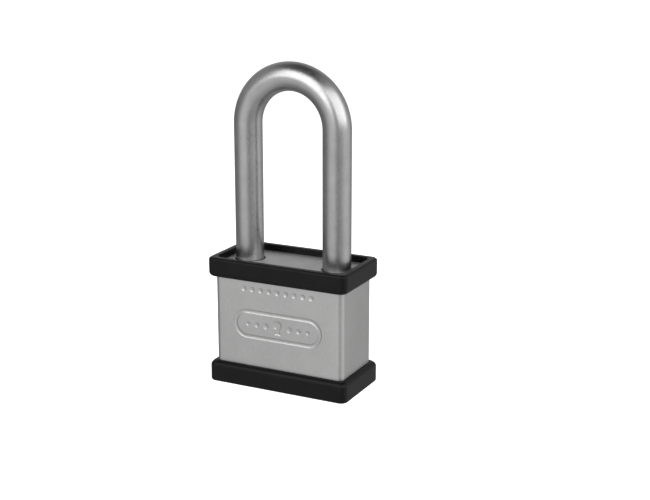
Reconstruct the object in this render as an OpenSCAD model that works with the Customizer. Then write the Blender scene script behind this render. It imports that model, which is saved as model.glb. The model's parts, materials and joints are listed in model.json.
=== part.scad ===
// Long-shackle padlock: steel case with black end bumpers, double ball locking
// and a five-pin key cylinder. Millimetres, +Z up, origin at the centre of the
// lower bumper's resting face. Drawn with the shackle pushed home and the plug
// at its release position, so the shackle is free to lift.

/* [Case] */
// Width of the steel case across its front
case_w = 50; // [49:0.5:52]
// Depth of the steel case, front to back
case_d = 23.6; // [23:0.2:26]
// Thickness of the case's drawn steel wall
case_wall = 1.8; // [1.6:0.1:2]
// Radius of the case's upright corners
case_corner_r = 2.2; // [2:0.1:3]

/* [Bumpers] */
// How far each bumper stands proud of the case all round
bumper_proud = 2; // [1.4:0.1:3]
// Radius of a bumper's upright corners
bumper_corner_r = 2.3; // [1.5:0.1:3]
// Height of the lower bumper
low_bumper_h = 7.6; // [6.5:0.1:9]
// Rounding along the lower bumper's foot
foot_edge_r = 0.6; // [0.3:0.1:1.2]
// Rounding along the lower bumper's shoulder
shoulder_r = 1.9; // [0.8:0.1:1.9]
// Height of the upper bumper, with its rim
top_bumper_h = 7.1; // [6:0.1:7.4]
// Rounding along the upper bumper's lower edge
skirt_edge_r = 1.6; // [0.4:0.1:1.8]
// Rounding along the upper bumper's rim
rim_edge_r = 0.9; // [0.3:0.1:1.3]
// Height of the upper bumper's rim above the top plate
rim_h = 2.3; // [1.5:0.1:3]
// How far the rim reaches in over the top plate
rim_reach = 0.6; // [0.2:0.1:0.8]
// Thickness of the lower bumper's lip under the case
lip_t = 1.4; // [1:0.1:1.8]

/* [Shackle] */
// Diameter of the shackle bar
shackle_d = 10; // [9.8:0.05:10]
// Distance between the centrelines of the two legs
leg_spacing = 34.4; // [34.4:0.1:35]
// Clear height from the upper bumper's rim to the inside of the arch
clear_h = 58.4; // [25:0.2:100]
// How far the shackle lifts when it is released
lift_travel = 15.5; // [15.5:0.1:16]

/* [Lock] */
// Height of the upper rim above the ground: the padlock's body height
body_h = 45.8; // [45.8:0.1:48]
// Diameter of the two locking balls
ball_d = 7; // [6.9:0.05:7]
// How deep a locked ball sits in its shackle notch
notch_depth = 2.3; // [2.1:0.1:2.4]
// Radius of the key plug
plug_r = 6.5; // [6.4:0.05:6.5]
// Diameter of the key pins and driver pins
pin_d = 2.4; // [2.2:0.1:2.4]
// Spacing of the pin chambers along the plug
pin_pitch = 3.2; // [3.1:0.05:3.2]
// Length of each key pin, in order from the key's mouth
key_pin_l = [3.2, 4.1, 2.9, 3.8, 4.4];

/* [Hidden] */

$fn = 64;
cut = 1;                 // how far a cutter runs past the face it opens
fit = 0.05;              // clearance on a side of a sliding or turning fit
seam = 0.02;             // hairline between parts that are clamped together

// Levels, from the ground up
case_z0 = lip_t;
base_plate_t = 1.6;
block_z0 = case_z0 + base_plate_t;
top_plate_t = 1.7;
plate_top_z = body_h - rim_h;
plate_z0 = plate_top_z - top_plate_t;
top_bumper_z0 = body_h - top_bumper_h;
ball_z = body_h - 9.8;
short_leg_z0 = ball_z - 5;
screw_head_z0 = short_leg_z0 - 3;
web_top_z = screw_head_z0 - 2;
cylinder_top_z = ball_z - 6.6;
chamber_top_z = web_top_z - 4.2;
first_pin_z = 7;

// Room inside the case's walls
inner_w = case_w - 2 * case_wall;
inner_d = case_d - 2 * case_wall;
inner_corner_r = case_corner_r - case_wall;

// Shackle
leg_x = leg_spacing / 2;
leg_r = shackle_d / 2;
leg_bore_r = leg_r + 0.3;
plate_hole_r = leg_r + 0.45;
arch_z = body_h + clear_h - leg_x + leg_r;
neck_r = leg_r - 1;
neck_half = 2.6;         // the neck runs this far past the ball's centre at each end
foot_l = 2.9;            // full-width foot below the neck, which the ball holds
long_leg_z0 = ball_z - lift_travel - neck_half - foot_l;
leg_bevel = 0.9;
pivot_r = 1.5;           // plunger's stub in the end of the long leg
pivot_l = 2;

// Locking balls: each moves along X, out into its notch as the cam turns
ball_r = ball_d / 2;
ball_locked_x = leg_x - leg_r - ball_r + notch_depth;
right_free_x = leg_x - leg_r - ball_r - 0.1;
left_free_x = leg_x - neck_r - ball_r - 0.1;
notch_r = ball_r + 0.25;

// Cam
cam_gap = 0.15;          // cam to ball, measured along the ball's path
cam_bore_r = 7.6;
cam_z0 = ball_z - 3.1;
cam_z1 = ball_z + 3.1;
cam_hub_z0 = cylinder_top_z + 1.8;
cam_hub_r = 6.2;
tang_w = 2.6;
tang_l = 9;
tang_h = 1.5;

// Key cylinder
cylinder_r = plug_r + 2.2;
web_w = 8;
web_x1 = 19.8;
chamber_x1 = 15.2;       // the chambers' springs push on the cover here
chamber_r = pin_d / 2 + fit;
guard_t = 1.2;
key_slot_x0 = -5.8;
key_slot_x1 = 4.2;
pin_rest_x = plug_r + fit;
driver_l = 3.4;
key_pin_seat_x = 0.9;    // bottom of the pin holes in the plug
plug_turn_rest = 90;     // the plug is drawn turned this far from key-in
clip_t = 0.8;

// Screws and rivets
screw_r = 2;
screw_head_r = 3.4;
screw_head_h = 2;
screw_clearance = 0.15;
hex_socket_r = 1.6;
rivet_r = 1.2;
rivet_at = [-18, 6];
rivet_hole_l = 3;
rivet_head_r = 3;
rivet_head_h = 0.7;
rivet_dome_r = 3.3;
dowel_r = 1;
dowel_l = 5;
dowel_hole_l = 4;        // depth of a dowel's hole in the block
dowel_at = [6, 8];

// Shackle spring, in the long leg's bore under the plunger
spring_floor_z = block_z0 + 1.5;
spring_r = 3.6;
spring_wire_r = 0.45;
plunger_z0 = long_leg_z0 - 2.4;
plunger_r = leg_r + 0.15;
plunger_tail_r = 2.6;    // the tail goes down inside the spring
plunger_tail_l = 2;

// Pin stacks
key_pin_tip_r = 0.5;
key_pin_tip_l = 0.7;
spool_waist_r = 0.75;
spool_waist_l = 1.6;
spool_lip_l = 0.9;       // full-width end of a spool below its waist
pin_spring_r = 0.9;
pin_spring_wire_r = 0.16;

// ---- Shared shapes -------------------------------------------------------

// Rectangle with round corners, centred on the origin
module rounded_rect(w, d, r) {
    square([w - 2 * r, d], center = true);
    square([w, d - 2 * r], center = true);
    for (x = [-1, 1], y = [-1, 1])
        translate([x * (w / 2 - r), y * (d / 2 - r)]) circle(r = r);
}

// Upright rounded bar between two heights
module rounded_bar(w, d, r, z0, z1) {
    translate([0, 0, z0]) linear_extrude(z1 - z0) rounded_rect(w, d, r);
}

// Side outline of a block, with its own rounding at the bottom and the top
module side_outline(w, h, r_low, r_high) {
    translate([-w / 2 + r_low, 0]) square([w - 2 * r_low, h - r_high]);
    translate([-w / 2 + r_high, r_low]) square([w - 2 * r_high, h - r_low]);
    translate([-w / 2, r_low]) square([w, h - r_low - r_high]);
    for (x = [-1, 1]) {
        translate([x * (w / 2 - r_low), r_low]) circle(r = r_low);
        translate([x * (w / 2 - r_high), h - r_high]) circle(r = r_high);
    }
}

// Block with rounded upright corners and rounded lower and upper edges
module soft_block(w, d, r, z0, z1, r_low, r_high) {
    h = z1 - z0;
    translate([0, 0, z0]) intersection() {
        linear_extrude(h) rounded_rect(w, d, r);
        rotate([90, 0, 0]) linear_extrude(d + 2, center = true) side_outline(w, h, r_low, r_high);
        rotate([90, 0, 90]) linear_extrude(w + 2, center = true) side_outline(d, h, r_low, r_high);
    }
}

// Hollow rounded frame, used for the snap ribs and their grooves
module frame_ring(w, d, r, reach, z0, z1) {
    difference() {
        rounded_bar(w, d, r, z0, z1);
        rounded_bar(w - 2 * reach, d - 2 * reach, max(r - reach, 0.3), z0 - cut, z1 + cut);
    }
}

// Round rod along Z with a small bevel at each end
module rod(r, z0, z1, bevel) {
    translate([0, 0, z0]) cylinder(r1 = r - bevel, r2 = r, h = bevel);
    translate([0, 0, z0 + bevel]) cylinder(r = r, h = z1 - z0 - 2 * bevel);
    translate([0, 0, z1 - bevel]) cylinder(r1 = r, r2 = r - bevel, h = bevel);
}

// Turns a shape drawn along Z so that it points along +X from the plug's axis
module along_x(z) {
    translate([0, 0, z]) rotate([0, 90, 0]) children();
}

// The plug and all that turns with it, from key-in to its drawn position
module with_plug() {
    rotate(plug_turn_rest) children();
}

// Points of one ring of a coil: a small polygon square to the wire
function coil_ring(mean_r, wire_r, at, angle, sides) = [
    for (k = [0 : sides - 1])
        let (a = 360 * k / sides, r = mean_r + wire_r * cos(a))
        [r * cos(angle), r * sin(angle), at + wire_r * sin(a)]
];

// Coil spring along Z between two seats, wound from round wire
module coil_spring(mean_r, wire_r, z0, z1, turns, steps, sides) {
    rings = turns * steps;
    rise = z1 - z0 - 2 * wire_r;
    points = [
        for (i = [0 : rings])
            each coil_ring(mean_r, wire_r, z0 + wire_r + rise * i / rings, 360 * i / steps, sides)
    ];
    walls = [
        for (i = [0 : rings - 1], k = [0 : sides - 1])
            let (n = (k + 1) % sides, a = i * sides, b = a + sides)
            each [[a + k, b + k, a + n], [a + n, b + k, b + n]]
    ];
    start = [[for (k = [0 : sides - 1]) k]];
    end = [[for (k = [sides - 1 : -1 : 0]) rings * sides + k]];
    polyhedron(points, concat(walls, start, end), convexity = 8);
}

// ---- Case ----------------------------------------------------------------

snap_reach = 0.5;        // depth of the snap rib inside each bumper
snap_h = 1.2;
low_snap_z = low_bumper_h / 2;
top_snap_z = top_bumper_z0 + 0.6;

module snap_groove(z) {
    frame_ring(case_w + 2, case_d + 2, case_corner_r, 1 + snap_reach + fit, z - fit, z + snap_h + fit);
}

// Drawn steel tube, open at both ends, with a snap groove for each bumper
module case() {
    color("silver") difference() {
        rounded_bar(case_w, case_d, case_corner_r, case_z0, plate_z0);
        rounded_bar(inner_w, inner_d, inner_corner_r, case_z0 - cut, plate_z0 + cut);
        snap_groove(low_snap_z);
        snap_groove(top_snap_z);
    }
}

// Outline of the key cylinder seen from below, grown by a clearance
module cylinder_outline(grow) {
    circle(r = cylinder_r + grow);
    translate([0, -web_w / 2 - grow]) square([web_x1 + grow, web_w + 2 * grow]);
}

// Solid that fills the inside of the case between two heights
module case_filling(z0, z1) {
    rounded_bar(inner_w - 2 * seam, inner_d - 2 * seam, inner_corner_r, z0, z1);
}

// Upright round cutter at one leg, between two heights
module leg_drilling(side, r, z0, z1) {
    translate([side * leg_x, 0, z0]) cylinder(r = r, h = z1 - z0);
}

// Machined block that fills the case and carries the whole mechanism
module lock_block() {
    short_bore_z0 = short_leg_z0 - 0.8;
    color("goldenrod") difference() {
        case_filling(block_z0, plate_z0);
        leg_drilling(-1, leg_bore_r, spring_floor_z, plate_z0 + cut);
        leg_drilling(1, leg_bore_r, short_bore_z0, plate_z0 + cut);
        leg_drilling(1, screw_head_r + screw_clearance, screw_head_z0, short_bore_z0 + cut);
        leg_drilling(1, screw_r + screw_clearance, web_top_z - cut, screw_head_z0 + cut);
        translate([0, 0, block_z0 - cut])
            cylinder(r = cylinder_r + fit, h = cylinder_top_z - block_z0 + cut);
        translate([0, -web_w / 2 - fit, block_z0 - cut])
            cube([web_x1 + fit, web_w + 2 * fit, web_top_z + fit - block_z0 + cut]);
        translate([0, 0, cylinder_top_z - cut])
            cylinder(r = cam_bore_r, h = cam_z1 + 0.3 - cylinder_top_z + cut);
        translate([-leg_x, 0, ball_z]) rotate([0, 90, 0]) cylinder(r = ball_r + fit, h = 2 * leg_x);
        dowel_sites() cylinder(r = dowel_r, h = dowel_hole_l + cut);
        rivet_sites() cylinder(r = rivet_r, h = rivet_hole_l);
    }
}

// Two blind holes in the block's top, one dowel in each
module dowel_sites() {
    for (s = [-1, 1])
        translate([s * dowel_at[0], -s * dowel_at[1], plate_z0 - dowel_hole_l]) children();
}

// Two rivet holes in the block's underside
module rivet_sites() {
    for (s = [-1, 1]) translate([rivet_at[0], s * rivet_at[1], block_z0]) children();
}

// Nickelled steel plate inside the upper rim, with a hole for each leg
module top_plate() {
    color("silver") difference() {
        rounded_bar(case_w, case_d, case_corner_r, plate_z0, plate_top_z);
        for (s = [-1, 1]) leg_drilling(s, plate_hole_r, plate_z0 - cut, plate_top_z + cut);
        dowel_sites() cylinder(r = dowel_r, h = dowel_l);
    }
}

module plate_dowels() {
    color("dimgray") dowel_sites() rod(dowel_r, 0.1, dowel_l - 0.1, 0.2);
}

// Plate that closes the case from below, open for the key cylinder
module bottom_plate() {
    color("silver") difference() {
        case_filling(case_z0, block_z0);
        translate([0, 0, case_z0 - cut]) linear_extrude(base_plate_t + 2 * cut) cylinder_outline(0.1);
        rivet_sites() translate([0, 0, -base_plate_t - cut])
            cylinder(r = rivet_r, h = base_plate_t + 2 * cut);
    }
}

// Two rivets with low domed heads
module base_rivets() {
    color("gray") rivet_sites() translate([0, 0, -base_plate_t]) {
        cylinder(r = rivet_r, h = base_plate_t + rivet_hole_l - 0.1);
        intersection() {
            translate([0, 0, rivet_dome_r - rivet_head_h]) sphere(r = rivet_dome_r);
            translate([0, 0, -rivet_head_h]) cylinder(r = rivet_head_r, h = rivet_head_h);
        }
    }
}

// ---- Bumpers -------------------------------------------------------------

bumper_w = case_w + 2 * bumper_proud;
bumper_d = case_d + 2 * bumper_proud;

module snap_rib(z) {
    frame_ring(case_w + 2, case_d + 2, case_corner_r, 1 + snap_reach, z, z + snap_h);
}

// Black frame round the top of the case; its rim stands above the top plate
module top_bumper() {
    color([0.12, 0.12, 0.13]) {
        difference() {
            soft_block(bumper_w, bumper_d, bumper_corner_r, top_bumper_z0, body_h, skirt_edge_r, rim_edge_r);
            rounded_bar(case_w, case_d, case_corner_r, top_bumper_z0 - cut, plate_top_z);
            rounded_bar(case_w - 2 * rim_reach, case_d - 2 * rim_reach, case_corner_r - rim_reach,
                plate_top_z - cut, body_h + cut);
        }
        snap_rib(top_snap_z);
    }
}

// Black frame round the foot of the case, with a lip under its edge
module bottom_bumper() {
    lip_reach = 2.5;
    lip_corner_r = 1.5;
    color([0.12, 0.12, 0.13]) {
        difference() {
            soft_block(bumper_w, bumper_d, bumper_corner_r, 0, low_bumper_h, foot_edge_r, shoulder_r);
            rounded_bar(case_w, case_d, case_corner_r, lip_t, low_bumper_h + cut);
            rounded_bar(case_w - 2 * lip_reach, case_d - 2 * lip_reach, lip_corner_r, -cut, lip_t + cut);
        }
        snap_rib(low_snap_z);
    }
}

// ---- Shackle -------------------------------------------------------------

// Round bar bent to a U; drawn in the middle of the case
module shackle() {
    color("lightgray") difference() {
        union() {
            translate([0, 0, arch_z]) rotate([90, 0, 0]) rotate_extrude(angle = 180)
                translate([leg_x, 0]) circle(r = leg_r);
            translate([leg_x, 0, 0]) leg(short_leg_z0);
            translate([-leg_x, 0, 0]) leg(long_leg_z0);
        }
        translate([-leg_x, 0, 0]) neck_cutter();
        for (s = [-1, 1])
            translate([s * ball_locked_x, 0, ball_z]) rotate([90, 0, 0])
                cylinder(r = notch_r, h = shackle_d + 2, center = true);
        translate([-leg_x, 0, long_leg_z0 - cut]) cylinder(r = pivot_r + fit, h = pivot_l + 0.2 + cut);
    }
}

// Straight leg with a bevelled end, up to the start of the arch
module leg(z0) {
    translate([0, 0, z0]) cylinder(r1 = leg_r - leg_bevel, r2 = leg_r, h = leg_bevel);
    translate([0, 0, z0 + leg_bevel]) cylinder(r = leg_r, h = arch_z - z0 - leg_bevel);
}

// Turned neck along which the left ball rides as the shackle lifts
module neck_cutter() {
    neck_z0 = long_leg_z0 + foot_l;
    difference() {
        translate([0, 0, neck_z0]) cylinder(r = leg_r + 1, h = lift_travel + 2 * neck_half);
        translate([0, 0, neck_z0 - cut]) cylinder(r = neck_r, h = lift_travel + 2 * neck_half + 2 * cut);
    }
}

// Piston on the spring; the long leg turns on its stub
module shackle_plunger() {
    color("gray") translate([-leg_x, 0, 0]) {
        rod(plunger_r, plunger_z0, long_leg_z0 - seam, 0.3);
        translate([0, 0, long_leg_z0 - 1]) cylinder(r = pivot_r, h = pivot_l + 1);
        translate([0, 0, plunger_z0 - plunger_tail_l]) cylinder(r = plunger_tail_r, h = plunger_tail_l + 1);
    }
}

module shackle_spring() {
    color("slategray") translate([-leg_x, 0, 0])
        coil_spring(spring_r, spring_wire_r, spring_floor_z + seam, plunger_z0 - seam, 6, 24, 6);
}

// ---- Locking balls and cam -----------------------------------------------

module left_ball() {
    color("lightsteelblue") translate([-left_free_x, 0, ball_z]) sphere(r = ball_r);
}

module right_ball() {
    color("lightsteelblue") translate([right_free_x, 0, ball_z]) sphere(r = ball_r);
}

// Smooth step from 0 to 1 between two angles
function ease(a, from, to) = (1 - cos(180 * min(max((a - from) / (to - from), 0), 1))) / 2;

// Distance of the ball's centre that the cam allows in one half turn
function half_lobe(a, free_x, next_free_x) =
    a <= 90
        ? free_x + (ball_locked_x - free_x) * a / 90
        : ball_locked_x + (next_free_x - ball_locked_x) * ease(a, 105, 150);

// Reach of the cam: it pushes each ball out as it makes a quarter turn
function cam_reach(a) =
    (a < 180 ? half_lobe(a, right_free_x, left_free_x) : half_lobe(a - 180, left_free_x, right_free_x))
    - ball_r - cam_gap;

module locking_cam() {
    color("peru") difference() {
        union() {
            translate([0, 0, cam_z0]) linear_extrude(cam_z1 - cam_z0)
                polygon([for (a = [0 : 3 : 357]) cam_reach(a) * [cos(a), sin(a)]]);
            intersection() {
                translate([0, 0, cam_hub_z0]) cylinder(r = cam_hub_r, h = cam_z0 - cam_hub_z0 + 0.2);
                translate([0, 0, cam_hub_z0 - cut]) cylinder(r = cam_bore_r, h = 5);
            }
        }
        translate([0, 0, cam_hub_z0])
            cube([tang_w + 2 * fit, tang_l + 2 * fit, 2 * tang_h + 0.2], center = true);
    }
}

// ---- Key cylinder --------------------------------------------------------

function pin_z(i) = first_pin_z + (i - 1) * pin_pitch;

// Brass housing: a barrel round the plug and a web that holds the pin chambers
module cylinder_body() {
    color("darkgoldenrod") difference() {
        union() {
            translate([0, 0, case_z0 + 0.2]) cylinder(r = cylinder_r, h = cylinder_top_z - case_z0 - 0.2);
            translate([0, -web_w / 2, case_z0 + 0.2]) cube([web_x1, web_w, web_top_z - case_z0 - 0.2]);
        }
        translate([0, 0, case_z0]) cylinder(r = plug_r + fit, h = cylinder_top_z + cut);
        translate([chamber_x1, -web_w / 2 - cut, case_z0 - cut])
            cube([web_x1, web_w + 2 * cut, chamber_top_z - case_z0 + cut]);
        for (i = [1 : 5]) along_x(pin_z(i)) cylinder(r = chamber_r, h = chamber_x1 + cut);
        translate([leg_x, 0, chamber_top_z + 0.4]) cylinder(r = screw_r, h = 5);
    }
}

// Bar that closes the outer ends of the five chambers
module chamber_cover() {
    color("goldenrod") translate([chamber_x1 + seam, -web_w / 2, case_z0 + 0.2])
        cube([web_x1 - chamber_x1 - seam, web_w, chamber_top_z - case_z0 - 0.2 - seam]);
}

// Screw at the bottom of the short leg's hole, reached with the shackle open
module cylinder_screw() {
    color("dimgray") translate([leg_x, 0, 0]) difference() {
        union() {
            rod(screw_head_r, screw_head_z0, screw_head_z0 + screw_head_h, 0.3);
            translate([0, 0, chamber_top_z + 0.8])
                cylinder(r = screw_r - fit, h = screw_head_z0 - chamber_top_z);
        }
        translate([0, 0, screw_head_z0 + 0.9]) cylinder(r = hex_socket_r, h = screw_head_h, $fn = 6);
    }
}

// Slot for the key, with a ward along each side
module keyway(z0, z1) {
    translate([key_slot_x0, -1.3, z0]) cube([3.2, 2.2, z1 - z0]);
    translate([key_slot_x0 + 3, -0.8, z0]) cube([3.2, 2.2, z1 - z0]);
    translate([key_slot_x0 + 6, -1.1, z0]) cube([key_slot_x1 - key_slot_x0 - 6, 2.2, z1 - z0]);
}

plug_z0 = case_z0 + 0.2 + guard_t + seam;
plug_z1 = cam_hub_z0 - 0.2;

// Brass plug with the keyway, five pin holes, a clip groove and a tang
module plug() {
    color("gold") with_plug() {
        difference() {
            translate([0, 0, plug_z0]) cylinder(r = plug_r, h = plug_z1 - plug_z0);
            keyway(plug_z0 - cut, cylinder_top_z - 2);
            for (i = [1 : 5]) along_x(pin_z(i)) translate([0, 0, key_pin_seat_x])
                cylinder(r = chamber_r, h = plug_r);
            translate([0, 0, cylinder_top_z]) difference() {
                cylinder(r = plug_r + 1, h = clip_t + 0.1);
                translate([0, 0, -cut]) cylinder(r = plug_r - 1, h = clip_t + 3);
            }
        }
        translate([0, 0, plug_z1]) rotate(-plug_turn_rest)
            translate([-tang_w / 2, -tang_l / 2, -0.2]) cube([tang_w, tang_l, tang_h + 0.2]);
    }
}

// Spring clip in the plug's groove: it holds the plug in the barrel
module plug_clip() {
    color("slategray") with_plug() translate([0, 0, cylinder_top_z + fit]) difference() {
        cylinder(r = plug_r + 0.8, h = clip_t);
        translate([0, 0, -cut]) cylinder(r = plug_r - 1 + fit, h = clip_t + 2 * cut);
        translate([-12, -3, -cut]) cube([12, 6, clip_t + 2 * cut]);
    }
}

// Hardened disc in the mouth of the barrel, turning with the plug
module drill_guard() {
    color("gray") with_plug() difference() {
        translate([0, 0, case_z0 + 0.2]) cylinder(r = plug_r, h = guard_t);
        keyway(case_z0 - cut, plug_z0 + cut);
    }
}

// Round pin with a pointed tip that reads the key
module key_pin(i) {
    length = key_pin_l[i - 1];
    color("khaki") with_plug() along_x(pin_z(i)) translate([0, 0, plug_r - length]) {
        cylinder(r1 = key_pin_tip_r, r2 = pin_d / 2, h = key_pin_tip_l);
        translate([0, 0, key_pin_tip_l]) cylinder(r = pin_d / 2, h = length - key_pin_tip_l - 0.3);
    }
}

// Driver pin; the second and fourth are spools with a turned waist
module driver_pin(i) {
    color("silver") along_x(pin_z(i)) difference() {
        rod(pin_d / 2, pin_rest_x, pin_rest_x + driver_l, 0.2);
        if (i % 2 == 0) translate([0, 0, pin_rest_x + spool_lip_l]) difference() {
            cylinder(r = pin_d, h = spool_waist_l);
            translate([0, 0, -cut]) cylinder(r = spool_waist_r, h = spool_waist_l + 2 * cut);
        }
    }
}

// Coil spring behind a driver pin
module pin_spring(i) {
    color("slategray") along_x(pin_z(i))
        coil_spring(pin_spring_r, pin_spring_wire_r,
            pin_rest_x + driver_l + seam, chamber_x1 - seam, 7, 12, 5);
}

case();
lock_block();
top_plate();
bottom_plate();
plate_dowels();
base_rivets();
top_bumper();
bottom_bumper();
shackle();
shackle_plunger();
shackle_spring();
left_ball();
right_ball();
locking_cam();
cylinder_body();
chamber_cover();
cylinder_screw();
plug();
plug_clip();
drill_guard();
for (i = [1 : 5]) {
    key_pin(i);
    driver_pin(i);
    pin_spring(i);
}
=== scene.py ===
"""Looks of the long-shackle padlock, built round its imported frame.

Metres, +Z up, front towards -Y, standing on z = 0 with the shackle pushed home."""
import json
import math

import bmesh
import bpy
from mathutils import Matrix, Vector


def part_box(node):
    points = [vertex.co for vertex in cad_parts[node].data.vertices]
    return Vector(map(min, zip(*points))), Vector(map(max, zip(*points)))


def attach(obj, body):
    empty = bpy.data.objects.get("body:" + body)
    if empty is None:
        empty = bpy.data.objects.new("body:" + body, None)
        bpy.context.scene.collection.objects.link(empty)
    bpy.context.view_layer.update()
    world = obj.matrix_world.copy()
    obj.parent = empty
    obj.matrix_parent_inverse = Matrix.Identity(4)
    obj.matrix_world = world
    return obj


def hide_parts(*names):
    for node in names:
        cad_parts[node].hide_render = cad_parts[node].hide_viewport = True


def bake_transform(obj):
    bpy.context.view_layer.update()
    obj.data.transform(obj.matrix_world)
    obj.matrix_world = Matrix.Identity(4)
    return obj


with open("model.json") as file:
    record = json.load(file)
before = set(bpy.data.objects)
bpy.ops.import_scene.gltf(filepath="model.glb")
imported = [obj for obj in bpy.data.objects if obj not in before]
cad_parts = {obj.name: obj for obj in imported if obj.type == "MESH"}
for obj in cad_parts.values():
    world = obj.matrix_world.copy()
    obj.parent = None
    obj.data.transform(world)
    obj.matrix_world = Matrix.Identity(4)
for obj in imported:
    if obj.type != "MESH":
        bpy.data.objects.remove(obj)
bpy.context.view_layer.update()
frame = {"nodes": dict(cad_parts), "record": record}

MM = 0.001

# ---- Sizes read from the frame ------------------------------------------------------------

case_lo, case_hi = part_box("case")
upper_lo, upper_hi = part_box("top_bumper")
lower_lo, lower_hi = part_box("bottom_bumper")
plate_lo, plate_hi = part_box("top_plate")
bar_lo, bar_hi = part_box("shackle")

PROUD = lower_hi.x - case_hi.x            # how far a bumper stands out from the case
BAR_R = bar_hi.y                          # radius of the shackle's bar
LEG_X = bar_hi.x - BAR_R                  # each leg's distance from the middle
ARCH_Z = bar_hi.z - BAR_R - LEG_X         # height where the legs end and the arch starts

# ---- Sizes that the frame's boxes don't give ----------------------------------------------

CASE_CORNER_R = 2.2 * MM
CASE_WALL = 1.8 * MM
BUMPER_CORNER_R = 2.3 * MM
SKIRT_EDGE_R = 1.6 * MM                   # upper bumper's lower outer edge
SKIRT_MOUTH_R = 0.15 * MM                 # upper bumper's lower inner edge
RIM_EDGE_R = 0.9 * MM                     # upper bumper's upper outer edge
RIM_INNER_R = 0.4 * MM                    # upper bumper's upper inner edge
RIM_REACH = 0.6 * MM                      # how far the upper rim reaches in over the plate
FOOT_EDGE_R = 0.6 * MM                    # lower bumper's lower outer edge
SHOULDER_R = 1.9 * MM                     # lower bumper's upper outer edge
LOWER_LIP_REACH = 4.5 * MM                # the lower bumper's lip, from its outside
LOWER_LIP_T = case_lo.z - lower_lo.z
LIP_TOP_R = 0.2 * MM                      # that lip's inner edges
LIP_FOOT_R = 0.3 * MM
LEG_HOLE_R = BAR_R + 0.45 * MM            # clearance holes in the top plate
PLATE_EDGE = 0.12 * MM                    # width of the bevel on the plate's edges
SHORT_LEG_Z = 31.0 * MM                   # height of the short leg's end
BALL_Z = 36.0 * MM                        # height of the balls and of their notches
NOTCH_X = 11.0 * MM                       # middle of each notch's cutter, between the legs
NOTCH_R = 3.75 * MM
NOTCH_REACH = 8.0 * MM                    # half the cutter's length, well past the bar
NECK_R = BAR_R - 1.0 * MM                 # the long leg's turned neck, which the ball runs along
NECK_Z0 = 17.9 * MM
NECK_Z1 = 38.6 * MM
LEG_TOP_Z = NECK_Z1 + 2.0 * MM            # above this both legs are plain bar
LEG_BEVEL = 0.9 * MM                      # at the end of each leg
LEG_EDGE_R = 0.12 * MM                    # every other edge of a leg
PIVOT_R = 1.55 * MM                       # hole in the long leg's foot for the plunger's stub
PIVOT_DEPTH = 2.2 * MM

CORNER_STEPS = 12                         # points round each upright corner
BAR_SIDES = 96
LEG_STEPS = 12                            # rings up the plain stretch of a leg
ARCH_STEPS = 72


# ---- Mesh tools ---------------------------------------------------------------------------

def shade_smooth(obj, angle):
    """Smooth shading that breaks at edges sharper than the angle, in degrees."""
    obj.data.shade_smooth()
    obj.data.set_sharp_from_angle(angle=math.radians(angle))


def mesh_object(name, bm, smooth_angle=35):
    """Turns a bmesh into an object."""
    bmesh.ops.recalc_face_normals(bm, faces=bm.faces)
    mesh = bpy.data.meshes.new(name)
    bm.to_mesh(mesh)
    bm.free()
    obj = bpy.data.objects.new(name, mesh)
    bpy.context.scene.collection.objects.link(obj)
    shade_smooth(obj, smooth_angle)
    return obj


def apply_modifiers(obj):
    """Bakes an object's modifiers into its mesh."""
    graph = bpy.context.evaluated_depsgraph_get()
    mesh = bpy.data.meshes.new_from_object(obj.evaluated_get(graph))
    obj.modifiers.clear()
    obj.data = mesh


def carve(obj, cutters):
    """Cuts the cutters out of obj and removes them."""
    for cutter in cutters:
        cut = obj.modifiers.new("cut", "BOOLEAN")
        cut.operation = "DIFFERENCE"
        cut.solver = "EXACT"
        cut.object = cutter
    bpy.context.view_layer.update()
    apply_modifiers(obj)
    for cutter in cutters:
        bpy.data.objects.remove(cutter)


def soften_edges(obj, width):
    """Small bevel on every sharp edge, with flat faces kept flat."""
    bevel = obj.modifiers.new("edge", "BEVEL")
    bevel.width = width
    bevel.segments = 2
    bevel.limit_method = "ANGLE"
    bevel.angle_limit = math.radians(35)
    bevel.use_clamp_overlap = True
    keep_flats(obj)


def keep_flats(obj):
    """Weights normals by area: the small roundings take the shading, and the flats stay flat."""
    normals = obj.modifiers.new("normals", "WEIGHTED_NORMAL")
    normals.mode = "FACE_AREA"
    normals.weight = 50
    normals.keep_sharp = True


def fillet(corners, steps=6):
    """Outline from (x, y, radius) corners: each corner with a radius becomes an arc."""
    points = []
    count = len(corners)
    for i, (x, y, radius) in enumerate(corners):
        here = Vector((x, y))
        before = Vector(corners[i - 1][:2]) - here
        after = Vector(corners[(i + 1) % count][:2]) - here
        if radius == 0:
            points.append(here)
            continue
        before.normalize()
        after.normalize()
        half = before.angle(after) / 2
        centre = here + (before + after).normalized() * (radius / math.sin(half))
        start = here + before * (radius / math.tan(half)) - centre
        end = here + after * (radius / math.tan(half)) - centre
        turn = start.angle_signed(end)
        for k in range(steps + 1):
            a = -turn * k / steps
            c, s = math.cos(a), math.sin(a)
            points.append(centre + Vector((start.x * c - start.y * s, start.x * s + start.y * c)))
    return points


def rounded_ring(half_w, half_d, radius, corner_steps=CORNER_STEPS):
    """Plan points of a rectangle with round corners, anticlockwise from the +X +Y corner."""
    points = []
    for quarter, (sx, sy) in enumerate(((1, 1), (-1, 1), (-1, -1), (1, -1))):
        for k in range(corner_steps + 1):
            a = math.radians(90 * (quarter + k / corner_steps))
            points.append((sx * (half_w - radius) + radius * math.cos(a),
                           sy * (half_d - radius) + radius * math.sin(a)))
    return points


def bridge_rings(bm, rings, close_loop):
    """Quads between neighbouring rings of vertices; each ring is a closed loop."""
    above = rings[1:] + rings[:1] if close_loop else rings[1:]
    for low, high in zip(rings, above):
        count = len(low)
        for k in range(count):
            n = (k + 1) % count
            bm.faces.new((low[k], low[n], high[n], high[k]))


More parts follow.
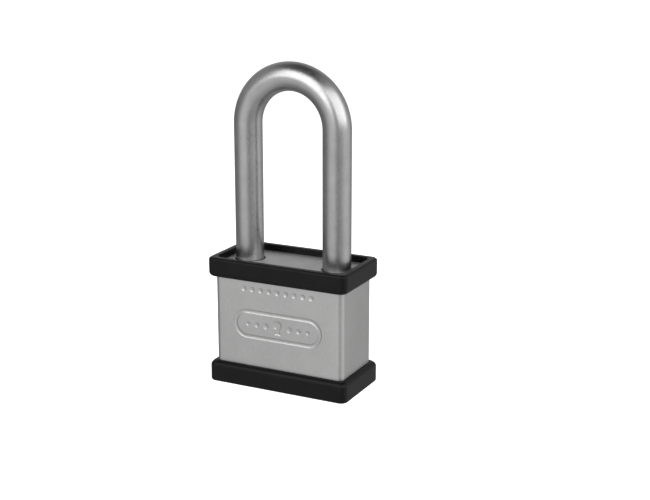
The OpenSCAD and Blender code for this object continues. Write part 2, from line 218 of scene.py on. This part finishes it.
def frame_sweep(name, half_w, half_d, plan_radius, profile, corner_steps=CORNER_STEPS):
    """Closed frame: a profile of (inset, height) points carried round a rounded rectangle."""
    bm = bmesh.new()
    rings = []
    for inset, z in profile:
        plan = rounded_ring(half_w - inset, half_d - inset, plan_radius(inset), corner_steps)
        rings.append([bm.verts.new((x, y, z)) for x, y in plan])
    bridge_rings(bm, rings, close_loop=True)
    return mesh_object(name, bm)


def prism(name, outline, low, high, axis="Z"):
    """Straight solid over a plan outline, along Z, or along Y for an outline in X and Z."""
    bm = bmesh.new()
    loops = []
    for level in (low, high):
        spots = [(x, y, level) if axis == "Z" else (x, level, y) for x, y in outline]
        loops.append([bm.verts.new(p) for p in spots])
    bridge_rings(bm, loops, close_loop=False)
    for loop in loops:
        bm.faces.new(loop)
    return mesh_object(name, bm)


def circle_points(x, y, radius, sides):
    """Outline of a circle."""
    turns = [2 * math.pi * k / sides for k in range(sides)]
    return [(x + radius * math.cos(a), y + radius * math.sin(a)) for a in turns]


# ---- Material tools -----------------------------------------------------------------------

MIX_A, MIX_B, MIX_OUT = 6, 7, 2           # colour sockets of the Mix node, which has others so named


class Shade:
    """A Principled material with short ways to add procedural nodes. Lengths are in millimetres."""

    def __init__(self, name, color, metallic, roughness, **more):
        self.material = bpy.data.materials.new(name)
        self.material.use_nodes = True
        self.tree = self.material.node_tree
        self.surface = self.tree.nodes["Principled BSDF"]
        self.surface.inputs["Base Color"].default_value = (*color, 1)
        self.surface.inputs["Metallic"].default_value = metallic
        self.surface.inputs["Roughness"].default_value = roughness
        for socket, value in more.items():
            self.surface.inputs[socket.replace("_", " ")].default_value = value
        self.place = self.tree.nodes.new("ShaderNodeTexCoord")

    def link(self, out, socket):
        self.tree.links.new(out, socket)

    def coords(self, stretch, source):
        """Object or UV coordinates that draw a pattern out along each axis by the stretch."""
        mapping = self.tree.nodes.new("ShaderNodeMapping")
        mapping.inputs["Scale"].default_value = [1 / s for s in stretch]
        self.link(self.place.outputs[source], mapping.inputs["Vector"])
        return mapping.outputs["Vector"]

    def noise(self, size_mm, detail=3, rough=0.55, stretch=(1, 1, 1), source="Object"):
        """Noise whose blobs are about size_mm across."""
        node = self.tree.nodes.new("ShaderNodeTexNoise")
        node.inputs["Scale"].default_value = 1 / (size_mm * MM)
        node.inputs["Detail"].default_value = detail
        node.inputs["Roughness"].default_value = rough
        self.link(self.coords(stretch, source), node.inputs["Vector"])
        return node.outputs["Fac"]

    def fit(self, value, to_low, to_high, low=0.3, high=0.7):
        """Maps a value to a range, clamped; most of a noise lies between low and high."""
        node = self.tree.nodes.new("ShaderNodeMapRange")
        ends = (low, high, to_low, to_high)
        for socket, number in zip(("From Min", "From Max", "To Min", "To Max"), ends):
            node.inputs[socket].default_value = number
        self.link(value, node.inputs["Value"])
        return node.outputs["Result"]

    def mix(self, factor, first, second):
        """Blend of two colours by a factor socket."""
        node = self.tree.nodes.new("ShaderNodeMix")
        node.data_type = "RGBA"
        self.link(factor, node.inputs["Factor"])
        for socket, value in ((node.inputs[MIX_A], first), (node.inputs[MIX_B], second)):
            if isinstance(value, tuple):
                socket.default_value = (*value, 1)
            else:
                self.link(value, socket)
        return node.outputs[MIX_OUT]

    def color(self, value):
        """Takes the base colour from a socket."""
        self.link(value, self.surface.inputs["Base Color"])

    def roughness(self, value):
        """Takes the roughness from a socket."""
        self.link(value, self.surface.inputs["Roughness"])

    def bump(self, height, depth_mm, strength=1.0):
        """Bump from a height socket; several calls add up."""
        node = self.tree.nodes.new("ShaderNodeBump")
        node.inputs["Strength"].default_value = strength
        node.inputs["Distance"].default_value = depth_mm * MM
        self.link(height, node.inputs["Height"])
        normal = self.surface.inputs["Normal"]
        if normal.is_linked:
            self.link(normal.links[0].from_socket, node.inputs["Normal"])
        self.link(node.outputs["Normal"], normal)


# ---- Materials ----------------------------------------------------------------------------

EDGE_TINT = (0.7, 0.7, 0.7, 1)            # plated steel reflects less than a mirror at grazing angles


def satin_nickel():
    """Blasted and nickelled sheet steel: fine grain, faint clouds and a slight mottle."""
    shade = Shade("satin_nickel", (0.45, 0.45, 0.45), 1.0, 0.42, Specular_Tint=EDGE_TINT)
    clouds = shade.fit(shade.noise(14, detail=3), 0, 1)
    mottle = shade.fit(shade.noise(0.8, detail=3, rough=0.6), 0, 1)
    dark = shade.mix(mottle, (0.42, 0.42, 0.418), (0.46, 0.46, 0.458))
    pale = shade.mix(mottle, (0.46, 0.46, 0.457), (0.5, 0.5, 0.497))
    shade.color(shade.mix(clouds, dark, pale))
    grain = shade.noise(0.2, detail=3, rough=0.7)
    shade.roughness(shade.fit(grain, 0.37, 0.49))
    shade.bump(grain, 0.012, 0.6)
    return shade.material


def zinc_plate():
    """Zinc-plated steel: a little paler than the case."""
    shade = Shade("zinc_plate", (0.45, 0.45, 0.45), 1.0, 0.4, Specular_Tint=EDGE_TINT)
    clouds = shade.noise(5, detail=4)
    shade.color(shade.mix(shade.fit(clouds, 0, 1), (0.57, 0.57, 0.57), (0.64, 0.64, 0.638)))
    grain = shade.noise(0.25, detail=3, rough=0.7)
    shade.roughness(shade.fit(grain, 0.5, 0.6))
    shade.bump(grain, 0.015, 0.6)
    return shade.material


def satin_chrome():
    """Hardened bar, ground along its length and plated."""
    shade = Shade("satin_chrome", (0.4, 0.4, 0.4), 1.0, 0.3, Specular_Tint=EDGE_TINT)
    clouds = shade.noise(7, detail=3)
    streaks = shade.noise(0.7, detail=2, stretch=(1, 14, 1), source="UV")
    pale = shade.mix(shade.fit(streaks, 0, 1), (0.4, 0.4, 0.4), (0.45, 0.45, 0.448))
    shade.color(shade.mix(shade.fit(clouds, 0, 1), (0.365, 0.365, 0.365), pale))
    grain = shade.noise(0.5, detail=2, rough=0.5, stretch=(1, 2.5, 1), source="UV")
    shade.roughness(shade.fit(grain, 0.26, 0.37, low=0.25, high=0.75))
    shade.bump(streaks, 0.005, 0.3)
    shade.bump(grain, 0.008, 0.3)
    return shade.material


def black_plastic():
    """Moulded bumper plastic with a fine spark-eroded grain and slightly scuffed patches."""
    shade = Shade("black_plastic", (0.002, 0.002, 0.0021), 0.0, 0.42, Specular_IOR_Level=0.17)
    scuffs = shade.fit(shade.noise(6, detail=4), 0, 1, low=0.35, high=0.75)
    shade.color(shade.mix(scuffs, (0.0015, 0.0015, 0.0016), (0.0035, 0.0035, 0.0037)))
    grain = shade.noise(0.22, detail=2, rough=0.6)
    shade.roughness(shade.fit(grain, 0.34, 0.5))
    shade.bump(grain, 0.03, 0.5)
    return shade.material


def machined(name, low, high, roughness):
    """Turned or milled metal: fine rings round the upright axis and soft clouds."""
    shade = Shade(name, high, 1.0, roughness)
    clouds = shade.noise(4, detail=3)
    shade.color(shade.mix(shade.fit(clouds, 0, 1), low, high))
    rings = shade.noise(0.25, detail=2, stretch=(1, 1, 30))
    shade.roughness(shade.fit(rings, roughness - 0.07, roughness + 0.1))
    shade.bump(rings, 0.008, 0.4)
    return shade.material


def pale_floor():
    """Matt white paper on a light table."""
    shade = Shade("pale_floor", (0.9, 0.9, 0.9), 0.0, 0.9, Specular_IOR_Level=0.1,
                  Emission_Color=(1, 1, 1, 1), Emission_Strength=0.8)
    fibres = shade.noise(2.5, detail=3)
    shade.color(shade.mix(shade.fit(fibres, 0, 1), (0.89, 0.89, 0.89), (0.91, 0.91, 0.91)))
    return shade.material


NICKEL = satin_nickel()
ZINC = zinc_plate()
CHROME = satin_chrome()
PLASTIC = black_plastic()
BRASS = machined("machined_brass", (0.66, 0.46, 0.19), (0.75, 0.55, 0.25), 0.32)
HARD_STEEL = machined("ground_steel", (0.3, 0.3, 0.31), (0.42, 0.42, 0.43), 0.3)
SPRING_WIRE = machined("spring_wire", (0.22, 0.22, 0.23), (0.34, 0.34, 0.35), 0.28)

SLOT_MATERIALS = {
    "satin_steel": NICKEL,
    "black_plastic": PLASTIC,
    "shackle_steel": CHROME,
    "brass": BRASS,
    "hard_steel": HARD_STEEL,
    "spring_steel": SPRING_WIRE,
}


def dress_cad_nodes():
    """Gives every CAD node the finish of its own material slot."""
    for part in frame["record"]["subparts"]:
        node = frame["nodes"][part["node"]]
        node.data.materials.clear()
        node.data.materials.append(SLOT_MATERIALS[part["material_slot"]])


def finish_piece(obj, body, slot, node, material=None):
    """Gives a new piece its material, from its slot unless one is given, puts it on its body, and
    hides the CAD node it stands for.
    """
    obj.data.materials.clear()
    obj.data.materials.append(material or SLOT_MATERIALS[slot])
    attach(obj, body)
    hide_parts(node)


# ---- Pieces -------------------------------------------------------------------------------

def bumper_plan_radius(inset):
    """Upright corner radius of a bumper, from its outside in to the case's own corner."""
    return BUMPER_CORNER_R + (CASE_CORNER_R - BUMPER_CORNER_R) * inset / PROUD


def make_upper_bumper():
    """Frame with a rim that stands above the top plate and a rounded lower edge."""
    low, high = upper_lo.z, upper_hi.z
    profile = fillet([
        (0, low, SKIRT_EDGE_R),
        (0, high, RIM_EDGE_R),
        (PROUD + RIM_REACH, high, RIM_INNER_R),
        (PROUD + RIM_REACH, plate_hi.z, 0),
        (PROUD, plate_hi.z, 0),
        (PROUD, low, SKIRT_MOUTH_R),
    ])
    obj = frame_sweep("upper_bumper", upper_hi.x, upper_hi.y, bumper_plan_radius, profile)
    keep_flats(obj)
    finish_piece(obj, "root", "black_plastic", "top_bumper")


def make_lower_bumper():
    """Frame with a round shoulder and a lip under the case."""
    high = lower_hi.z
    profile = fillet([
        (0, 0, FOOT_EDGE_R),
        (0, high, SHOULDER_R),
        (PROUD, high, 0),
        (PROUD, LOWER_LIP_T, 0),
        (LOWER_LIP_REACH, LOWER_LIP_T, LIP_TOP_R),
        (LOWER_LIP_REACH, 0, LIP_FOOT_R),
    ])
    obj = frame_sweep("lower_bumper", lower_hi.x, lower_hi.y, bumper_plan_radius, profile)
    keep_flats(obj)
    finish_piece(obj, "root", "black_plastic", "bottom_bumper")


FRONT_Y = -case_hi.y
MARK_DEPTH = 0.18 * MM
DOT_COUNT = 9
DOT_R = 1.0 * MM
DOT_PITCH = 3.3 * MM
DOT_Z = 35.7 * MM
BADGE_Z = 23.0 * MM
BADGE_HALF_W = 16.6 * MM
BADGE_HALF_H = 4.6 * MM
BADGE_END_FLAT = 0.01 * MM                # keeps the two arcs of each round end apart
GROOVE_HALF_W = 0.75 * MM
BEAD_X = 4.6 * MM                         # first of the three dimples on each side of the keyhole
BEAD_PITCH = 3.6 * MM
BEAD_R = (1.15 * MM, 0.95 * MM, 0.75 * MM)
KEYHOLE_SLOPE = 0.7 * MM                  # how far the keyhole widens from its floor to the face
KEYHOLE_STEPS = 6


def onto_front(obj, x, z):
    """Stands a cutter drawn on the ground, with up as outward, on the front face at (x, z)."""
    turn = Matrix.Rotation(math.radians(90), 4, "X")
    obj.data.transform(Matrix.Translation((x, FRONT_Y, z)) @ turn)
    return obj


def arc_radius(half_width):
    """Radius of the arc that is as wide as a mark at the face and as deep as a mark."""
    return (half_width ** 2 + MARK_DEPTH ** 2) / (2 * MARK_DEPTH)


def dimple_cutter(name, x, z, radius):
    """Ball that leaves a shallow round dimple."""
    ball_r = arc_radius(radius)
    bm = bmesh.new()
    bmesh.ops.create_uvsphere(bm, u_segments=96, v_segments=64, radius=ball_r)
    bmesh.ops.translate(bm, verts=bm.verts, vec=(0, 0, ball_r - MARK_DEPTH))
    return onto_front(mesh_object(name, bm), x, z)


def badge_cutter():
    """Round bead bent into the badge's long round-ended outline."""
    bead_r = arc_radius(GROOVE_HALF_W)
    turns = [2 * math.pi * k / 48 for k in range(48)]
    profile = [(bead_r * math.cos(a), bead_r - MARK_DEPTH + bead_r * math.sin(a)) for a in turns]

    def plan_radius(inset):
        return BADGE_HALF_H - BADGE_END_FLAT - inset

    obj = frame_sweep("badge_groove", BADGE_HALF_W, BADGE_HALF_H, plan_radius, profile,
                      corner_steps=24)
    return onto_front(obj, 0, BADGE_Z)


def keyhole_outline(growth):
    """A round eye over a flared slot, as one outline."""
    eye_r = 1.0 * MM + growth
    neck = 0.3 * MM + 0.6 * growth
    foot = 0.6 * MM + growth
    bottom = -2.0 * MM - growth
    eye_y = 0.9 * MM
    start = math.asin(neck / eye_r)
    steps = 40
    arc = [start + (2 * math.pi - 2 * start) * k / steps for k in range(steps + 1)]
    eye = [(eye_r * math.sin(a), eye_y - eye_r * math.cos(a)) for a in arc]
    return eye + [(-foot, bottom), (foot, bottom)]


def keyhole_cutter():
    """Dished keyhole: the outline grows from the floor of the mark to a little past the face."""
    bm = bmesh.new()
    loops = []
    for k in range(KEYHOLE_STEPS + 2):
        growth = KEYHOLE_SLOPE * k / KEYHOLE_STEPS
        height = MARK_DEPTH * ((k / KEYHOLE_STEPS) ** 2 - 1)
        loops.append([bm.verts.new((x, y, height)) for x, y in keyhole_outline(growth)])
    bridge_rings(bm, loops, close_loop=False)
    bm.faces.new(loops[0])
    bm.faces.new(loops[-1])
    return onto_front(mesh_object("keyhole", bm), 0, BADGE_Z)


def mark_cutters():
    """The sunk marks: a row of dots, and a badge with a keyhole between dimples that get smaller."""
    first = -(DOT_COUNT - 1) / 2
    cutters = [dimple_cutter(f"dot_{i}", (first + i) * DOT_PITCH, DOT_Z, DOT_R)
               for i in range(DOT_COUNT)]
    for i, radius in enumerate(BEAD_R):
        for side in (-1, 1):
            x = side * (BEAD_X + i * BEAD_PITCH)
            cutters.append(dimple_cutter(f"bead_{side}_{i}", x, BADGE_Z, radius))
    return cutters + [badge_cutter(), keyhole_cutter()]


def make_case():
    """Drawn steel tube with generic sunk marks on its front: a row of dots and a keyhole badge."""
    profile = [(0, case_lo.z), (0, case_hi.z), (CASE_WALL, case_hi.z), (CASE_WALL, case_lo.z)]

    def plan_radius(inset):
        return CASE_CORNER_R - inset

    obj = frame_sweep("case_shell", case_hi.x, case_hi.y, plan_radius, profile)
    carve(obj, mark_cutters())
    shade_smooth(obj, 18)
    finish_piece(obj, "root", "satin_steel", "case")


def make_top_plate():
    """Steel plate inside the rim, with softened edges, round the leg holes too."""
    outline = rounded_ring(plate_hi.x, plate_hi.y, CASE_CORNER_R)
    obj = prism("top_deck", outline, plate_lo.z, plate_hi.z)
    holes = []
    for side in (-1, 1):
        circle = circle_points(side * LEG_X, 0, LEG_HOLE_R, 72)
        holes.append(prism(f"hole_{side}", circle, plate_lo.z - MM, plate_hi.z + MM))
    carve(obj, holes)
    shade_smooth(obj, 30)
    soften_edges(obj, PLATE_EDGE)
    finish_piece(obj, "root", "satin_steel", "top_plate", material=ZINC)


def leg_stations(side, corners):
    """Rings up one leg from (radius, height) corners, as (centre, outward direction, radius)."""
    outward = Vector((side, 0, 0))
    rings = [(Vector((side * LEG_X, 0, p.y)), outward, p.x) for p in fillet(corners, steps=4)]
    top = rings[-1][0].z
    span = ARCH_Z - top
    rings += [(Vector((side * LEG_X, 0, top + span * k / LEG_STEPS)), outward, BAR_R)
              for k in range(1, LEG_STEPS)]
    return rings


def make_shackle():
    """One bar swept from the long leg's foot, over the arch, to the short leg's end."""
    foot_z = bar_lo.z
    long_leg = leg_stations(-1, [
        (0, foot_z + PIVOT_DEPTH, 0),
        (PIVOT_R, foot_z + PIVOT_DEPTH, 0),
        (PIVOT_R, foot_z, LEG_EDGE_R),
        (BAR_R - LEG_BEVEL, foot_z, LEG_EDGE_R),
        (BAR_R, foot_z + LEG_BEVEL, LEG_EDGE_R),
        (BAR_R, NECK_Z0, LEG_EDGE_R),
        (NECK_R, NECK_Z0, 0),
        (NECK_R, NECK_Z1, 0),
        (BAR_R, NECK_Z1, LEG_EDGE_R),
        (BAR_R, LEG_TOP_Z, 0),
    ])
    short_leg = leg_stations(1, [
        (0, SHORT_LEG_Z, 0),
        (BAR_R - LEG_BEVEL, SHORT_LEG_Z, LEG_EDGE_R),
        (BAR_R, SHORT_LEG_Z + LEG_BEVEL, LEG_EDGE_R),
        (BAR_R, LEG_TOP_Z, 0),
    ])
    arch = []
    for k in range(ARCH_STEPS + 1):
        a = math.pi * (1 - k / ARCH_STEPS)
        outward = Vector((math.cos(a), 0, math.sin(a)))
        arch.append((Vector((0, 0, ARCH_Z)) + outward * LEG_X, outward, BAR_R))
    obj = swept_bar("shackle_bar", long_leg + arch + short_leg[::-1])
    notches = []
    for side in (-1, 1):
        circle = circle_points(side * NOTCH_X, BALL_Z, NOTCH_R, 64)
        notches.append(prism(f"notch_{side}", circle, -NOTCH_REACH, NOTCH_REACH, axis="Y"))
    carve(obj, notches)
    shade_smooth(obj, 30)
    finish_piece(obj, "shackle", "shackle_steel", "shackle")


def swept_bar(name, stations):
    """Round bar through the stations, with a UV map of (round, along) in metres."""
    bm = bmesh.new()
    uv_layer = bm.loops.layers.uv.new("bar")
    rings, along = [], []
    across = Vector((0, 1, 0))
    travelled = 0.0
    for i, (centre, outward, radius) in enumerate(stations):
        if i:
            travelled += (centre - stations[i - 1][0]).length
        ring = [bm.verts.new(centre + radius * (outward * math.cos(a) + across * math.sin(a)))
                for a in (2 * math.pi * k / BAR_SIDES for k in range(BAR_SIDES))]
        rings.append(ring)
        along.append(travelled)
    girth = 2 * math.pi * BAR_R
    for i in range(len(rings) - 1):
        for k in range(BAR_SIDES):
            n = (k + 1) % BAR_SIDES
            face = bm.faces.new((rings[i][k], rings[i][n], rings[i + 1][n], rings[i + 1][k]))
            spots = ((k, i), (k + 1, i), (k + 1, i + 1), (k, i + 1))
            for loop, (turn, level) in zip(face.loops, spots):
                loop[uv_layer].uv = (girth * turn / BAR_SIDES, along[level])
    bmesh.ops.remove_doubles(bm, verts=bm.verts, dist=1e-6)
    bmesh.ops.dissolve_degenerate(bm, edges=bm.edges, dist=1e-7)
    return mesh_object(name, bm)


SHACKLE_SPRING_TURNS = 7.5
SHACKLE_WIRE_R = 0.45 * MM
PIN_COUNT = 5
PIN_SPRING_TURNS = 7
PIN_WIRE_R = 0.16 * MM
CLOSED_TURNS = 1                          # turns laid side by side at each end of a spring
CLOSED_PITCH = 2.04                       # how far apart those turns lie, in wire radii
COIL_STEPS = 36                           # rings along one turn
WIRE_SIDES = 12


def coil(name, start, end, outer_r, wire_r, turns):
    """Wire coil between two points, with a closed turn at each end."""
    axis = (end - start).normalized()
    side = axis.orthogonal().normalized()
    other = axis.cross(side)
    mean_r = outer_r - wire_r
    closed_pitch = CLOSED_PITCH * wire_r
    climb = (end - start).length - 2 * wire_r
    open_pitch = (climb - 2 * CLOSED_TURNS * closed_pitch) / (turns - 2 * CLOSED_TURNS)
    bm = bmesh.new()
    rings = []
    for k in range(round(turns * COIL_STEPS) + 1):
        turn = k / COIL_STEPS
        opened = min(max(turn - CLOSED_TURNS, 0), turns - 2 * CLOSED_TURNS)
        height = wire_r + opened * open_pitch + (turn - opened) * closed_pitch
        out = side * math.cos(2 * math.pi * turn) + other * math.sin(2 * math.pi * turn)
        middle = start + axis * height + out * mean_r
        rings.append([bm.verts.new(middle + wire_r * (out * math.cos(a) + axis * math.sin(a)))
                      for a in (2 * math.pi * i / WIRE_SIDES for i in range(WIRE_SIDES))])
    bridge_rings(bm, rings, close_loop=False)
    bm.faces.new(rings[0])
    bm.faces.new(rings[-1])
    return mesh_object(name, bm, smooth_angle=50)


def finish_spring(obj, node):
    """Spring wire for a CAD node, which is hidden, with its placing baked into its mesh.

    Each ring of points is drawn in to its middle while the placing is baked, and put back after."""
    obj.data.materials.append(SPRING_WIRE)
    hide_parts(node)
    vertices = obj.data.vertices
    places = [vertex.co.copy() for vertex in vertices]
    for first in range(0, len(places), WIRE_SIDES):
        middle = sum(places[first:first + WIRE_SIDES], Vector()) / WIRE_SIDES
        for vertex in vertices[first:first + WIRE_SIDES]:
            vertex.co = middle
    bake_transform(obj)
    for vertex, place in zip(vertices, places):
        vertex.co = place


def make_springs():
    """The shackle's spring under its plunger, and the spring behind each driver pin."""
    low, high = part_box("shackle_spring")
    middle = (low + high) / 2
    foot = Vector((middle.x, middle.y, low.z))
    top = Vector((middle.x, middle.y, high.z))
    outer_r = high.y - middle.y
    spring = coil("shackle_coil", foot, top, outer_r, SHACKLE_WIRE_R, SHACKLE_SPRING_TURNS)
    finish_spring(spring, "shackle_spring")
    for i in range(1, PIN_COUNT + 1):
        low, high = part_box(f"pin_spring_{i}")
        middle = (low + high) / 2
        at_cover = Vector((high.x, middle.y, middle.z))
        at_pin = Vector((low.x, middle.y, middle.z))
        outer_r = high.y - middle.y
        spring = coil(f"pin_coil_{i}", at_cover, at_pin, outer_r, PIN_WIRE_R, PIN_SPRING_TURNS)
        finish_spring(spring, f"pin_spring_{i}")


# ---- Stage --------------------------------------------------------------------------------

FLOOR_HALF = 6.0
BACKDROP_R = 5.5
BACKDROP_GLOW = 1.15                      # a little past white, so that no part of it shows as grey


def make_floor():
    """White table that the padlock stands on."""
    bm = bmesh.new()
    bmesh.ops.create_grid(bm, x_segments=1, y_segments=1, size=FLOOR_HALF)
    floor = mesh_object("floor", bm)
    floor.data.materials.append(pale_floor())
    floor.visible_glossy = False              # in reflections the room's light stands for it
    floor.visible_shadow = False              # and comes through it from below


def make_backdrop():
    """Plain white surround, for the camera only, so that low views have no horizon."""
    bm = bmesh.new()
    bmesh.ops.create_uvsphere(bm, u_segments=64, v_segments=32, radius=BACKDROP_R)
    backdrop = mesh_object("backdrop", bm)
    shade = Shade("backdrop_white", (0, 0, 0), 0.0, 1.0, Specular_IOR_Level=0.0,
                  Emission_Color=(1, 1, 1, 1), Emission_Strength=BACKDROP_GLOW)
    backdrop.data.materials.append(shade.material)
    backdrop.visible_glossy = False
    backdrop.visible_diffuse = False
    backdrop.visible_shadow = False


def aim(obj, target):
    """Turns a light or the camera to face a point."""
    obj.rotation_euler = (Vector(target) - obj.location).to_track_quat("-Z", "Y").to_euler()


SOFTBOX_DISTANCE = 0.7
SOFTBOX_HEIGHT = 0.06                     # height of the point that every softbox faces


def toward(azimuth, elevation):
    """Direction from the padlock; azimuth 0 is in front of it and 90 on its right."""
    a, e = math.radians(azimuth), math.radians(elevation)
    return Vector((math.sin(a) * math.cos(e), -math.cos(a) * math.cos(e), math.sin(e)))


def softbox(name, azimuth, elevation, width, height, radiance):
    """Area light that faces the padlock."""
    light = bpy.data.lights.new(name, "AREA")
    light.shape = "RECTANGLE"
    light.size = width
    light.size_y = height
    light.energy = radiance * math.pi * width * height
    obj = bpy.data.objects.new(name, light)
    middle = Vector((0, 0, SOFTBOX_HEIGHT))
    obj.location = middle + SOFTBOX_DISTANCE * toward(azimuth, elevation)
    obj.visible_camera = False
    bpy.context.scene.collection.objects.link(obj)
    aim(obj, middle)


class Room:
    """The studio round the padlock, as soft light by direction."""

    def __init__(self, ambient):
        world = bpy.data.worlds.new("studio")
        world.use_nodes = True
        bpy.context.scene.world = world
        self.tree = world.node_tree
        self.direction = self.tree.nodes.new("ShaderNodeTexCoord").outputs["Generated"]
        background = self.tree.nodes["Background"]
        background.inputs["Color"].default_value = (1, 1, 1, 1)
        self.strength = background.inputs["Strength"]
        level = self.tree.nodes.new("ShaderNodeValue")
        level.outputs["Value"].default_value = ambient
        self.total = level.outputs["Value"]

    def add(self, value):
        """Adds one more share of light, or takes one away if it is negative."""
        node = self.tree.nodes.new("ShaderNodeMath")
        self.tree.links.new(self.total, node.inputs[0])
        self.tree.links.new(value, node.inputs[1])
        self.total = node.outputs["Value"]
        self.tree.links.new(self.total, self.strength)

    def glow(self, azimuth, elevation, reach, strength, core=0):
        """Soft patch of light: full within core degrees of its middle, and gone at reach degrees."""
        dot = self.tree.nodes.new("ShaderNodeVectorMath")
        dot.operation = "DOT_PRODUCT"
        self.tree.links.new(self.direction, dot.inputs[0])
        dot.inputs[1].default_value = toward(azimuth, elevation)
        fade = self.tree.nodes.new("ShaderNodeMapRange")
        fade.interpolation_type = "SMOOTHSTEP"
        ends = (math.cos(math.radians(reach)), math.cos(math.radians(core)), 0, strength)
        for socket, number in zip(("From Min", "From Max", "To Min", "To Max"), ends):
            fade.inputs[socket].default_value = number
        self.tree.links.new(dot.outputs["Value"], fade.inputs["Value"])
        self.add(fade.outputs["Result"])


def make_lights():
    """Two softboxes in a dim room. A negative glow is a dark patch of it."""
    room = Room(ambient=0.05)
    room.glow(0, -90, 180, 0.38, core=125)        # the floor and walls, fading up to a dark ceiling
    room.glow(-15, -12, 50, 0.44)                 # the floor under the front softbox
    room.glow(106, -11, 45, 0.48)                 # the floor under the side softbox
    room.glow(30, -14, 26, -0.14)                 # the dark side, where the camera stands
    room.glow(-90, -30, 60, -0.12)                # the dark end of the table, on the left
    room.glow(150, 0, 45, 0.12)                   # the wall behind, on the right
    room.glow(-150, 15, 42, 0.28)                 # the wall behind, on the left
    room.glow(35, -62, 55, 0.16)                  # the table top under the camera
    room.glow(108, 46, 38, 0.28)                  # the wall beside the side softbox
    softbox("front_softbox", -10, 30, 0.62, 0.62, 2.4)
    softbox("side_softbox", 74, 28, 1.05, 0.62, 1.9)


CAMERA_YAW = math.radians(26.71)
CAMERA_PITCH = math.radians(15.45)
CAMERA_DISTANCE = 456.84 * MM
CAMERA_TARGET = Vector((12.59 * MM, 0, 49.88 * MM))
CAMERA_LENS = 73.26                       # millimetres, on a 36 mm sensor


def make_camera():
    """Camera in front of the padlock, to its right and a little above it."""
    data = bpy.data.cameras.new("camera")
    data.lens = CAMERA_LENS
    data.sensor_width = 36
    data.clip_start = 0.01
    camera = bpy.data.objects.new("camera", data)
    back = Vector((math.sin(CAMERA_YAW) * math.cos(CAMERA_PITCH),
                   -math.cos(CAMERA_YAW) * math.cos(CAMERA_PITCH),
                   math.sin(CAMERA_PITCH)))
    camera.location = CAMERA_TARGET + back * CAMERA_DISTANCE
    bpy.context.scene.collection.objects.link(camera)
    aim(camera, CAMERA_TARGET)
    bpy.context.scene.camera = camera
    bpy.context.scene.view_settings.view_transform = "Standard"


dress_cad_nodes()
make_case()
make_top_plate()
make_upper_bumper()
make_lower_bumper()
make_shackle()
make_springs()
make_floor()
make_backdrop()
make_lights()
make_camera()
